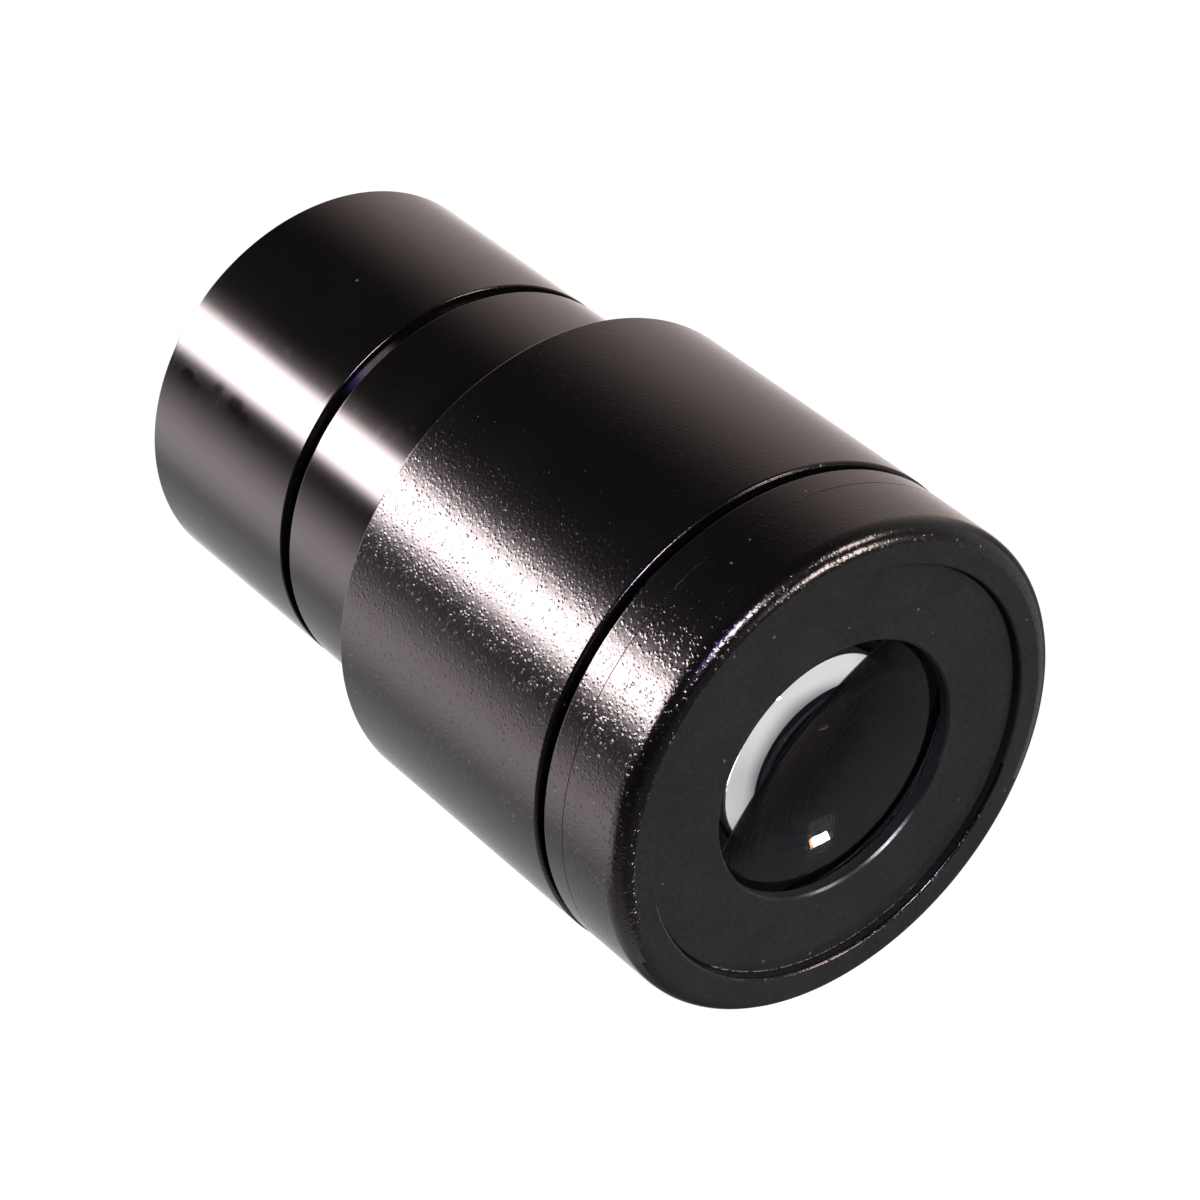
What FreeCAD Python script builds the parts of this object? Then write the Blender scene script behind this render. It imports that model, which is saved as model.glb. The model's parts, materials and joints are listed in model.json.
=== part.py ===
"""Wide-field microscope eyepiece for a 30 mm eye tube.

Every piece is turned about the optical axis, which is the Z axis. The origin is the centre of the
barrel's open end, and +Z points to the observer's eye. All lengths are in millimetres.
"""
import FreeCAD, Part
import math
import os

# Barrel, the tube that slides into the microscope
barrel_diameter = 30.0
barrel_wall = 1.8
barrel_length = 16.4
barrel_end_chamfer = 0.5
bore_end_chamfer = 0.3
spigot_wall = 1.0
spigot_engagement = 5.0
spigot_lead = 0.3
groove_width = 1.05
groove_edge_break = 0.12

# Housing, the neck and lens tube in one piece
neck_length = 10.25
lens_bore_inset = 2.95
lens_tube_wall = 1.95
housing_flange_thickness = 2.5
lens_seat_width = 0.8
lens_seat_thickness = 1.2
stop_bore_ledge = 1.2
relief_ledge = 0.75
tube_end_gap = 0.8
lens_bore_lead = 0.3

# Head sleeve, the textured grip
head_step = 3.0
sleeve_wall = 1.75
sleeve_flange_thickness = 2.5
grip_length = 21.9
grip_end_chamfer = 0.35
grip_edge_break = 0.1
head_groove_width = 0.45
head_groove_depth = 0.9
land_length = 2.2
land_chamfer = 0.35
thread_relief_depth = 0.4
thread_relief_width = 1.4

# Eye cap, the ring that screws into the sleeve and carries the eye lens
cap_step = 0.1
cap_length = 5.7
cap_edge_radius = 1.5
cap_rim_width = 1.35
cap_spigot_length = 4.5
seam_gap = 0.05
seam_edge_break = 0.06
eye_seat_width = 0.9
eye_seat_thickness = 0.8

# Face plate, the sunk ring that holds the eye lens in
plate_sink = 0.6
plate_thickness = 1.2
plate_edge_break = 0.1
plate_seat_relief = 0.1
opening_diameter = 18.8
opening_edge_break = 0.12

# Lenses: radii of curvature, and thicknesses at the rim or on the axis.
# Light from the eye side comes to a focus at the field stop.
eye_lens_curvature = 33.0
eye_lens_back_curvature = 50.0
eye_lens_rim = 1.6
eye_lens_overlap = 1.6
eye_lens_drop = 0.1
doublet_curvature = 38.0
crown_rim = 1.4
flint_centre = 1.3
cement_gap = 0.02
field_lens_curvature = 130.0
field_lens_rim = 1.6
lens_bevel = 0.2

# Spacers between the lenses
spacer_wall = 1.1
upper_spacer_length = 2.4
lower_spacer_length = 9.0

# Field stop and the ring that holds it
field_stop_rim = 3.0
field_stop_thickness = 0.6
field_stop_bevel = 0.45
field_stop_below_shoulder = 0.2
stop_ring_wall = 1.8
stop_ring_length = 2.0
stop_ring_slot_width = 1.2
stop_ring_slot_depth = 0.8

# Clearances on the radius
thread_clearance = 0.05
lens_clearance = 0.05
slide_clearance = 0.05
tube_clearance = 0.1


def sag(curvature, radius):
    """Depth of a spherical cap of the given radius of curvature at a distance from its axis."""
    return curvature - math.sqrt(curvature ** 2 - radius ** 2)


# Radii from the barrel outwards
barrel_r = barrel_diameter / 2
barrel_bore_r = barrel_r - barrel_wall
spigot_r = barrel_bore_r + spigot_wall
neck_thread_r = spigot_r + thread_clearance
head_r = barrel_r + head_step
cap_r = head_r - cap_step
sleeve_bore_r = head_r - sleeve_wall
sleeve_throat_r = barrel_r + slide_clearance
head_groove_r = head_r - head_groove_depth

# Radii of the lens tube
lens_bore_r = barrel_r - lens_bore_inset
lens_r = lens_bore_r - lens_clearance
lens_tube_r = lens_bore_r + lens_tube_wall
housing_flange_r = sleeve_bore_r - slide_clearance
stop_bore_r = neck_thread_r - stop_bore_ledge
stop_r = stop_bore_r - thread_clearance
relief_r = stop_bore_r - relief_ledge
spacer_bore_r = lens_r - spacer_wall

# Radii of the eye end
opening_r = opening_diameter / 2
eye_lens_r = opening_r + eye_lens_overlap
eye_bore_r = eye_lens_r + lens_clearance
eye_seat_r = eye_lens_r - eye_seat_width
recess_r = cap_r - cap_edge_radius - cap_rim_width
plate_r = recess_r - thread_clearance
cap_spigot_r = sleeve_bore_r - thread_clearance
cap_spigot_bore_r = lens_tube_r + tube_clearance

# Heights of the outer steps, from the open end of the barrel
z_neck = barrel_length + groove_width
z_spigot_end = z_neck + spigot_engagement
z_shoulder = z_neck + neck_length
z_flange = z_shoulder + sleeve_flange_thickness
z_groove = z_shoulder + grip_length
z_land = z_groove + head_groove_width
z_seam = z_land + land_length
z_cap = z_seam + seam_gap
z_front = z_cap + cap_length
z_cap_spigot = z_cap - cap_spigot_length

# Heights of the lens train, from the eye down to the seat in the housing
z_plate_front = z_front - plate_sink
z_plate_back = z_plate_front - plate_thickness
z_plate_seat = z_plate_back - plate_seat_relief
z_eye_vertex = z_front - eye_lens_drop
z_eye_rim = z_eye_vertex - sag(eye_lens_curvature, eye_lens_r)
z_eye_edge = z_eye_rim - eye_lens_rim
z_eye_back = z_eye_edge - sag(eye_lens_back_curvature, eye_lens_r)
z_eye_seat = z_eye_back + sag(eye_lens_back_curvature, eye_seat_r)
z_upper_spacer_top = z_eye_seat - eye_seat_thickness
z_upper_spacer_bottom = z_upper_spacer_top - upper_spacer_length
z_crown_vertex = z_upper_spacer_bottom + sag(doublet_curvature, spacer_bore_r)
z_crown_rim = z_crown_vertex - sag(doublet_curvature, lens_r)
z_crown_rim_low = z_crown_rim - crown_rim
z_crown_low = z_crown_rim_low - sag(doublet_curvature, lens_r)
z_flint_top = z_crown_low - cement_gap
z_flint_back = z_flint_top - flint_centre
z_lower_spacer_bottom = z_flint_back - lower_spacer_length
z_field_vertex = z_lower_spacer_bottom + sag(field_lens_curvature, spacer_bore_r)
z_field_rim = z_field_vertex - sag(field_lens_curvature, lens_r)
z_lens_seat = z_field_rim - field_lens_rim

# Heights of the field stop, which lies at the focal plane near the shoulder
z_stop = z_shoulder - field_stop_below_shoulder
z_stop_seat = z_stop + field_stop_thickness
z_stop_ring = z_stop - stop_ring_length
z_tube_end = z_upper_spacer_top - tube_end_gap


class Section:
    """A closed half section of lines and arcs, turned about the Z axis into a solid."""

    def __init__(self, r, z):
        self.start = FreeCAD.Vector(r, 0, z)
        self.here = self.start
        self.edges = []

    def line(self, r, z):
        """Straight on to the point at radius r and height z."""
        there = FreeCAD.Vector(r, 0, z)
        if there.distanceToPoint(self.here) > 1e-6:
            self.edges.append(Part.LineSegment(self.here, there).toShape())
            self.here = there
        return self

    def arc(self, middle_r, middle_z, r, z):
        """A circular arc through a middle point to the point at radius r and height z."""
        middle = FreeCAD.Vector(middle_r, 0, middle_z)
        there = FreeCAD.Vector(r, 0, z)
        self.edges.append(Part.Arc(self.here, middle, there).toShape())
        self.here = there
        return self

    def turned(self):
        """The solid of revolution, after closing the section with a straight line."""
        self.line(self.start.x, self.start.z)
        face = Part.Face(Part.Wire(self.edges))
        return face.revolve(FreeCAD.Vector(0, 0, 0), FreeCAD.Vector(0, 0, 1), 360)


def make_barrel():
    """Push-in tube. Its threaded spigot bottoms out in the neck and leaves the groove open."""
    s = Section(barrel_bore_r + bore_end_chamfer, 0)
    s.line(barrel_r - barrel_end_chamfer, 0)
    s.line(barrel_r, barrel_end_chamfer)
    s.line(barrel_r, barrel_length - groove_edge_break)
    s.line(barrel_r - groove_edge_break, barrel_length)
    s.line(spigot_r, barrel_length)
    s.line(spigot_r, z_spigot_end - spigot_lead)
    s.line(spigot_r - spigot_lead, z_spigot_end)
    s.line(barrel_bore_r, z_spigot_end)
    s.line(barrel_bore_r, bore_end_chamfer)
    return s.turned()


def make_housing():
    """Neck, locating flange and lens tube, with the stepped bores for the stop and the lenses."""
    z_flange_top = z_flange + housing_flange_thickness
    z_seat_low = z_lens_seat - lens_seat_thickness
    s = Section(neck_thread_r, z_neck)
    s.line(barrel_r - groove_edge_break, z_neck)
    s.line(barrel_r, z_neck + groove_edge_break)
    s.line(barrel_r, z_flange)
    s.line(housing_flange_r, z_flange)
    s.line(housing_flange_r, z_flange_top)
    s.line(lens_tube_r, z_flange_top)
    s.line(lens_tube_r, z_tube_end)
    s.line(lens_bore_r + lens_bore_lead, z_tube_end)
    s.line(lens_bore_r, z_tube_end - lens_bore_lead)
    s.line(lens_bore_r, z_lens_seat)
    s.line(lens_r - lens_seat_width, z_lens_seat)
    s.line(lens_r - lens_seat_width, z_seat_low)
    s.line(relief_r, z_seat_low)
    s.line(relief_r, z_stop_seat)
    s.line(stop_bore_r, z_stop_seat)
    s.line(stop_bore_r, z_spigot_end)
    s.line(neck_thread_r, z_spigot_end)
    return s.turned()


def make_head_sleeve():
    """Grip shell with an inner flange at the neck, the eyeguard groove and the land before the seam."""
    z_relief_top = z_cap_spigot
    z_relief_low = z_relief_top - thread_relief_width
    relief_wall_r = sleeve_bore_r + thread_relief_depth
    s = Section(sleeve_throat_r, z_shoulder)
    s.line(head_r - grip_end_chamfer, z_shoulder)
    s.line(head_r, z_shoulder + grip_end_chamfer)
    s.line(head_r, z_groove - grip_edge_break)
    s.line(head_r - grip_edge_break, z_groove)
    s.line(head_groove_r, z_groove)
    s.line(head_groove_r, z_land)
    s.line(cap_r - land_chamfer, z_land)
    s.line(cap_r, z_land + land_chamfer)
    s.line(cap_r, z_seam - seam_edge_break)
    s.line(cap_r - seam_edge_break, z_seam)
    s.line(sleeve_bore_r, z_seam)
    s.line(sleeve_bore_r, z_relief_top)
    s.line(relief_wall_r, z_relief_top)
    s.line(relief_wall_r, z_relief_low)
    s.line(sleeve_bore_r, z_relief_low)
    s.line(sleeve_bore_r, z_flange)
    s.line(sleeve_throat_r, z_flange)
    return s.turned()


def make_eye_cap():
    """Front ring with a rounded edge, a sunk seat for the face plate and the cell of the eye lens."""
    flat_r = cap_r - cap_edge_radius
    round_middle = cap_edge_radius * math.sqrt(0.5)
    s = Section(cap_spigot_bore_r, z_cap_spigot)
    s.line(cap_spigot_r, z_cap_spigot)
    s.line(cap_spigot_r, z_cap)
    s.line(cap_r - seam_edge_break, z_cap)
    s.line(cap_r, z_cap + seam_edge_break)
    s.line(cap_r, z_front - cap_edge_radius)
    s.arc(flat_r + round_middle, z_front - cap_edge_radius + round_middle, flat_r, z_front)
    s.line(recess_r + plate_edge_break, z_front)
    s.line(recess_r, z_front - plate_edge_break)
    s.line(recess_r, z_plate_seat)
    s.line(eye_bore_r, z_plate_seat)
    s.line(eye_bore_r, z_eye_seat)
    s.line(eye_seat_r, z_eye_seat)
    s.line(eye_seat_r, z_upper_spacer_top)
    s.line(cap_spigot_bore_r, z_upper_spacer_top)
    return s.turned()


def make_face_plate():
    """Threaded ring with the opening. A cone under its lip bears on the dome of the eye lens."""
    touch_r = (opening_r + eye_lens_r) / 2
    touch_z = z_eye_vertex - sag(eye_lens_curvature, touch_r)
    slope = touch_r / math.sqrt(eye_lens_curvature ** 2 - touch_r ** 2)
    boss_r = eye_lens_r - slide_clearance
    s = Section(opening_r + opening_edge_break, z_plate_front)
    s.line(plate_r - plate_edge_break, z_plate_front)
    s.line(plate_r, z_plate_front - plate_edge_break)
    s.line(plate_r, z_plate_back)
    s.line(boss_r, z_plate_back)
    s.line(boss_r, touch_z - slope * (boss_r - touch_r))
    s.line(opening_r, touch_z + slope * (touch_r - opening_r))
    s.line(opening_r, z_plate_front - opening_edge_break)
    return s.turned()


def make_eye_lens():
    """Biconvex lens, the steeper side towards the eye. Its back rests on the inner edge of the seat."""
    middle_r = eye_lens_r / 2
    s = Section(0, z_eye_back)
    s.arc(middle_r, z_eye_back + sag(eye_lens_back_curvature, middle_r), eye_lens_r, z_eye_edge)
    s.line(eye_lens_r, z_eye_rim)
    s.arc(middle_r, z_eye_vertex - sag(eye_lens_curvature, middle_r), 0, z_eye_vertex)
    return s.turned()


def make_field_lens():
    """Plano-convex lens with its flat side down, and a small bevel at the flat's edge."""
    middle_r = lens_r / 2
    s = Section(0, z_lens_seat)
    s.line(lens_r - lens_bevel, z_lens_seat)
    s.line(lens_r, z_lens_seat + lens_bevel)
    s.line(lens_r, z_field_rim)
    s.arc(middle_r, z_field_vertex - sag(field_lens_curvature, middle_r), 0, z_field_vertex)
    return s.turned()


def make_crown_lens():
    """Biconvex half of the doublet, towards the eye."""
    middle_r = lens_r / 2
    middle_sag = sag(doublet_curvature, middle_r)
    s = Section(0, z_crown_low)
    s.arc(middle_r, z_crown_low + middle_sag, lens_r, z_crown_rim_low)
    s.line(lens_r, z_crown_rim)
    s.arc(middle_r, z_crown_vertex - middle_sag, 0, z_crown_vertex)
    return s.turned()


def make_flint_lens():
    """Plano-concave half of the doublet, whose hollow takes the crown."""
    middle_r = lens_r / 2
    z_flint_rim = z_flint_top + sag(doublet_curvature, lens_r)
    s = Section(0, z_flint_back)
    s.line(lens_r - lens_bevel, z_flint_back)
    s.line(lens_r, z_flint_back + lens_bevel)
    s.line(lens_r, z_flint_rim)
    s.arc(middle_r, z_flint_top + sag(doublet_curvature, middle_r), 0, z_flint_top)
    return s.turned()


def make_spacer(z_bottom, z_top):
    """Plain ring. Its lower inner corner stands on the dome of the lens below."""
    s = Section(spacer_bore_r, z_bottom)
    s.line(lens_r, z_bottom)
    s.line(lens_r, z_top)
    s.line(spacer_bore_r, z_top)
    return s.turned()


def make_field_stop():
    """Thin disc with a knife-edged hole, bevelled on the lens side."""
    hole_r = stop_r - field_stop_rim
    s = Section(hole_r, z_stop)
    s.line(stop_r, z_stop)
    s.line(stop_r, z_stop_seat)
    s.line(hole_r + field_stop_bevel, z_stop_seat)
    return s.turned()


def make_stop_ring():
    """Threaded ring with two slots for a pin spanner, which clamps the field stop."""
    ring_bore_r = stop_r - stop_ring_wall
    s = Section(ring_bore_r, z_stop_ring)
    s.line(stop_r, z_stop_ring)
    s.line(stop_r, z_stop)
    s.line(ring_bore_r, z_stop)
    ring = s.turned()
    corner = FreeCAD.Vector(-stop_bore_r, -stop_ring_slot_width / 2, z_stop_ring)
    slot = Part.makeBox(2 * stop_bore_r, stop_ring_slot_width, stop_ring_slot_depth, corner)
    return ring.cut(slot)


def main():
    pieces = {
        "barrel": make_barrel(),
        "housing": make_housing(),
        "head_sleeve": make_head_sleeve(),
        "eye_cap": make_eye_cap(),
        "face_plate": make_face_plate(),
        "eye_lens": make_eye_lens(),
        "upper_spacer": make_spacer(z_upper_spacer_bottom, z_upper_spacer_top),
        "crown_lens": make_crown_lens(),
        "flint_lens": make_flint_lens(),
        "lower_spacer": make_spacer(z_lower_spacer_bottom, z_flint_back),
        "field_lens": make_field_lens(),
        "field_stop": make_field_stop(),
        "stop_ring": make_stop_ring(),
    }
    os.makedirs("parts", exist_ok=True)
    for name, shape in pieces.items():
        shape.exportStep(os.path.join("parts", name + ".step"))
        box = shape.optimalBoundingBox()
        print(f"{name:13s} valid {shape.isValid()} solids {len(shape.Solids)} volume {shape.Volume:9.2f}"
              f"  z {box.ZMin:7.3f} to {box.ZMax:7.3f}  radius {box.XMax:7.3f}")


main()
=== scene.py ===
"""Finish, glass and studio light for a wide-field microscope eyepiece.

The pieces are turned about the optical axis, the Z axis, and fine threads wind around it. The barrel's
open end is at zero height and the eye end is on top. Outlines are in millimetres, meshes in metres.
"""
import json
import math

import bpy
from mathutils import Matrix, Vector

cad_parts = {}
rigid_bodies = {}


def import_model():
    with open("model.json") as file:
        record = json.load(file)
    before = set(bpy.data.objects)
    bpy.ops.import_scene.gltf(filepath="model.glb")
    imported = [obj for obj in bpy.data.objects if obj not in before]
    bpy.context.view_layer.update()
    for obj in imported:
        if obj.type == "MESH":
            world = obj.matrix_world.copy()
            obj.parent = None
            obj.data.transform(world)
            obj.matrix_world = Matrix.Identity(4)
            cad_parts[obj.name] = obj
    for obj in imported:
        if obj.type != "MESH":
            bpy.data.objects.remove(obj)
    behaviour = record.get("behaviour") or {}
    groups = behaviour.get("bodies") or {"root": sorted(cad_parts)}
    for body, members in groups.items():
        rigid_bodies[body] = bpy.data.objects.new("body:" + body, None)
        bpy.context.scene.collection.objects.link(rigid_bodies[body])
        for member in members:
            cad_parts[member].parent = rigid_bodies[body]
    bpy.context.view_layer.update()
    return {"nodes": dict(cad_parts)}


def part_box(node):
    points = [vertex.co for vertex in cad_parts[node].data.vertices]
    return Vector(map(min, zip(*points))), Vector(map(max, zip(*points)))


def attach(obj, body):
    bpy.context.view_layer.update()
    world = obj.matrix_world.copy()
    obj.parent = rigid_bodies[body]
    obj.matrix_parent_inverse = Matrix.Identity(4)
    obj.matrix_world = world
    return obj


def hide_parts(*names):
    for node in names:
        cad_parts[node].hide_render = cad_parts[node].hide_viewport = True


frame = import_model()

MM = 0.001


def span(node):
    """Outer radius, lowest and highest point of a turned node, in millimetres."""
    low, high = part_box(node)
    return high[0] / MM, low[2] / MM, high[2] / MM


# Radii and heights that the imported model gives
barrel_r, z_foot, z_spigot_end = span("barrel")
flange_r, z_neck, z_tube_end = span("housing")
head_r, z_shoulder, z_seam = span("head_sleeve")
cap_r, z_cap_spigot, z_front = span("eye_cap")
plate_r, _, z_plate_front = span("face_plate")
eye_r, z_eye_back, z_eye_vertex = span("eye_lens")
spacer_r, z_upper_spacer_low, z_upper_spacer_top = span("upper_spacer")
crown_r, _, z_crown_vertex = span("crown_lens")
flint_r, z_flint_back, _ = span("flint_lens")
lower_spacer_r, z_lower_spacer_low, z_lower_spacer_top = span("lower_spacer")
field_r, z_field_flat, z_field_vertex = span("field_lens")
stop_r, z_stop, z_stop_top = span("field_stop")

# Barrel and neck
barrel_length = 16.4
barrel_wall = 1.8
barrel_chamfer = 0.5
bore_chamfer = 0.3
spigot_r = 14.2
spigot_lead = 0.3
turned_edge = 0.12
bore_edge = 0.05
foot_edge = 0.08
foot_chamfer_edge = 0.15

# Lens tube inside the head
lens_tube_r = 14.0
lens_bore_r = 12.05
lens_seat_width = 0.8
lens_seat_thickness = 1.2
flange_thickness = 2.5
neck_thread_gap = 0.05
stop_bore_gap = 0.05
stop_relief = 0.75
lens_bore_lead = 0.3

# Head sleeve
sleeve_wall = 1.75
sleeve_throat_gap = 0.05
grip_length = 21.9
grip_chamfer = 0.35
grip_foot_edge = 0.1
grip_chamfer_edge = 0.25
grip_edge = 0.24
groove_width = 0.45
groove_depth = 0.9
land_chamfer = 0.35
land_foot_edge = 0.05
land_chamfer_edge = 0.2
seam_edge = 0.01

# Eye cap and face plate
seam_gap = 0.05
cap_edge_radius = 1.5
rim_width = 1.35
plate_gap = 0.05
plate_edge = 0.18
recess_edge = 0.2
plate_thickness = 1.2
plate_relief = 0.1
recess_r = cap_r - cap_edge_radius - rim_width
opening_r = 9.4
opening_bevel = 0.15
opening_edge = 0.03
cap_spigot_gap = 0.05
cell_gap = 0.05
eye_seat_width = 0.9
tube_gap = 0.1

# Lenses, spacers and field stop
eye_curvature = 33.0
eye_back_curvature = 50.0
doublet_curvature = 38.0
field_curvature = 130.0
lens_bevel = 0.2
spacer_wall = 1.1
spacer_edge = 0.06
stop_hole_r = 10.0
stop_bevel = 0.45

# Mesh fineness
TURN_STEPS = 360
LENS_STEPS = 240
ROUND_STEPS = 6
DOME_STEPS = 48
# Angle in degrees past which an edge is sharp
SHARP_ANGLE = 28
# Largest share of a side that a rounding may take
ROUND_SHARE = 0.45
# Distance of a holding point from its corner, and how many times longer a side must be to have one
HOLD = 0.04
HOLD_ROOM = 6


def sag(curvature, radius):
    """Depth of a spherical surface at a distance from its axis."""
    return curvature - math.sqrt(curvature ** 2 - radius ** 2)


class Outline:
    """A closed half section as points of radius and height, with corners that may be rounded."""

    def __init__(self):
        self.corners = []

    def to(self, r, z, rounding=0.0):
        """Straight on to a corner."""
        self.corners.append((r, z, rounding))

    def dome(self, curvature, z_apex, r_from, r_to):
        """Along a spherical surface. The curvature is negative where the surface faces down."""
        for step in range(DOME_STEPS + 1):
            r = r_from + (r_to - r_from) * step / DOME_STEPS
            drop = math.copysign(sag(abs(curvature), r), curvature)
            self.corners.append((r, z_apex - drop, 0.0))

    def rounded(self, before, corner, after):
        """Points of one corner, on an arc that touches both of its sides."""
        here = Vector(corner[:2])
        back = Vector(before[:2]) - here
        ahead = Vector(after[:2]) - here
        half = back.angle(ahead) / 2
        reach = corner[2] / math.tan(half)
        reach = min(reach, back.length * ROUND_SHARE, ahead.length * ROUND_SHARE)
        centre = here + (back.normalized() + ahead.normalized()).normalized() * (reach / math.cos(half))
        start = here + back.normalized() * reach - centre
        end = here + ahead.normalized() * reach - centre
        turn = start.angle_signed(end)
        points = []
        for step in range(ROUND_STEPS + 1):
            points.append(centre + Matrix.Rotation(-turn * step / ROUND_STEPS, 2) @ start)
        return points

    def points(self):
        """All points in order, with holding points beside each rounded corner."""
        count = len(self.corners)
        loops = []
        for i, corner in enumerate(self.corners):
            if corner[2] > 0:
                loops.append(self.rounded(self.corners[i - 1], corner, self.corners[(i + 1) % count]))
            else:
                loops.append([Vector(corner[:2])])
        line = []
        for i, loop in enumerate(loops):
            line += loop
            after = loops[(i + 1) % count][0]
            run = after - loop[-1]
            if run.length > HOLD_ROOM * HOLD:
                if len(loop) > 1:
                    line.append(loop[-1] + run.normalized() * HOLD)
                if len(loops[(i + 1) % count]) > 1:
                    line.append(after - run.normalized() * HOLD)
        return line


def turned(name, outline, node, material, steps=TURN_STEPS):
    """Turns an outline about the Z axis into a closed mesh that stands for a node."""
    line = outline.points()
    area = sum(a.x * b.y - b.x * a.y for a, b in zip(line, line[1:] + line[:1]))
    if area < 0:
        line.reverse()
    verts = []
    rings = []
    for point in line:
        if point.x < 1e-6:
            rings.append([len(verts)] * steps)
            verts.append((0.0, 0.0, point.y * MM))
            continue
        rings.append(list(range(len(verts), len(verts) + steps)))
        for step in range(steps):
            angle = math.tau * step / steps
            verts.append((point.x * MM * math.cos(angle), point.x * MM * math.sin(angle), point.y * MM))
    faces = []
    for low, high in zip(rings, rings[1:] + rings[:1]):
        for step in range(steps):
            after = (step + 1) % steps
            face = [low[step], low[after], high[after], high[step]]
            face = [v for i, v in enumerate(face) if v != face[i - 1]]
            if len(face) > 2:
                faces.append(face)
    mesh = bpy.data.meshes.new(name)
    mesh.from_pydata(verts, [], faces)
    mesh.polygons.foreach_set("use_smooth", [True] * len(mesh.polygons))
    mesh.set_sharp_from_angle(angle=math.radians(SHARP_ANGLE))
    mesh.materials.append(material)
    piece = bpy.data.objects.new(name, mesh)
    bpy.context.scene.collection.objects.link(piece)
    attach(piece, "root")
    if node:
        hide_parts(*node)
    return piece


class Value:
    """A socket of a node tree. Arithmetic on it adds Math nodes."""

    def __init__(self, tree, socket):
        self.tree = tree
        self.socket = socket

    def math(self, operation, *others):
        """One Math node with this value first."""
        values = dict(enumerate((self,) + others))
        return self.tree.add("ShaderNodeMath", {"operation": operation}, values)

    def __add__(self, other):
        return self.math("ADD", other)

    __radd__ = __add__

    def __sub__(self, other):
        return self.math("SUBTRACT", other)

    def __rsub__(self, other):
        return self.math("MULTIPLY_ADD", -1.0, other)

    def __mul__(self, other):
        return self.math("MULTIPLY", other)

    __rmul__ = __mul__

    def __truediv__(self, other):
        return self.math("DIVIDE", other)

    def ramp(self, low, high, to_low=0.0, to_high=1.0):
        """Smooth step from one value to another."""
        settings = {"interpolation_type": "SMOOTHSTEP"}
        values = {"Value": self, "From Min": low, "From Max": high, "To Min": to_low, "To Max": to_high}
        return self.tree.add("ShaderNodeMapRange", settings, values)


class Tree:
    """A node tree that is filled by one method."""

    def __init__(self, owner):
        owner.use_nodes = True
        self.nodes = owner.node_tree.nodes
        self.links = owner.node_tree.links
        self.nodes.clear()

    def add(self, kind, settings=None, values=None, output=0):
        """Adds a node, sets its settings, then its inputs, and returns one output."""
        node = self.nodes.new(kind)
        for key, setting in (settings or {}).items():
            setattr(node, key, setting)
        for key, value in (values or {}).items():
            socket = node.inputs[key]
            if isinstance(value, Value):
                self.links.new(value.socket, socket)
            else:
                socket.default_value = value
        return Value(self, node.outputs[output]) if len(node.outputs) else None

    def mix(self, share, low, high):
        """Colour between two colours."""
        settings = {"data_type": "RGBA"}
        return self.add("ShaderNodeMix", settings, {"Factor": share, 6: low, 7: high}, 2)

    def place(self):
        """The point on the piece, in metres."""
        return self.add("ShaderNodeTexCoord", output="Object")

    def axes(self, vector):
        """The three components of a vector."""
        split = self.add("ShaderNodeSeparateXYZ", None, {"Vector": vector})
        return [Value(self, output) for output in split.socket.node.outputs]

    def swayed(self, size, amount):
        """The point on the piece, shifted about by noise. Both lengths are in millimetres."""
        values = {"Vector": self.place(), "Scale": 1 / (size * MM)}
        sway = self.add("ShaderNodeTexNoise", None, values, "Color")
        sway = self.add("ShaderNodeVectorMath", {"operation": "SUBTRACT"}, {0: sway, 1: (0.5, 0.5, 0.5)})
        return self.add("ShaderNodeVectorMath", {"operation": "MULTIPLY_ADD"},
                        {0: sway, 1: (amount * MM,) * 3, 2: self.place()})

    def noise(self, size, detail=2.0, roughness=0.5, at=None):
        """Noise whose blots have about the given size in millimetres."""
        values = {"Vector": at or self.place(), "Scale": 1 / (size * MM), "Detail": detail,
                  "Roughness": roughness}
        return self.add("ShaderNodeTexNoise", None, values)

    def cells(self, size, output="Distance", at=None):
        """Cell pattern with cells of about the given size in millimetres."""
        values = {"Vector": at or self.place(), "Scale": 1 / (size * MM)}
        return self.add("ShaderNodeTexVoronoi", None, values, output)

    def bump(self, height, depth, strength=1.0, normal=None):
        """Bump of a height between 0 and 1, whose full depth is given in millimetres."""
        values = {"Height": height, "Distance": depth * MM, "Strength": strength}
        if normal:
            values["Normal"] = normal
        return self.add("ShaderNodeBump", None, values)


def new_material(name):
    """An empty material and its tree."""
    material = bpy.data.materials.new(name)
    return material, Tree(material)


def finish(tree, **values):
    """The Principled shader and the material's output."""
    inputs = {key.replace("_", " "): value for key, value in values.items()}
    shader = tree.add("ShaderNodeBsdfPrincipled", None, inputs, "BSDF")
    tree.add("ShaderNodeOutputMaterial", None, {"Surface": shader})


# Where a speck's edge ends and where it is full, as shares of a cell
SPECK_EDGE = (0.16, 0.08)


def dust(tree, spacing, share):
    """Mask of small pale specks. The share is how many of the cells hold one."""
    near = tree.cells(spacing)
    chance = tree.add("ShaderNodeSeparateColor", None, {"Color": tree.cells(spacing, output="Color")})
    return near.ramp(*SPECK_EDGE) * chance.math("LESS_THAN", share)


# Finger marks on the barrel and neck: azimuth in degrees, height and radius in millimetres, strength
MARKS = [
    (-156.6, 2.8, 0.75, 1.0),
    (-155.2, 3.7, 0.7, 0.9),
    (-161.0, 6.3, 0.6, 0.5),
    (-159.0, 8.6, 0.9, 0.6),
    (-157.0, 9.8, 0.8, 0.5),
    (-154.2, 11.7, 0.5, 0.9),
    (-173.0, 8.6, 0.7, 0.35),
]
# Where a mark's edge ends and where it is full, as shares of its radius
MARK_EDGE = (1.25, 0.5)


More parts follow.
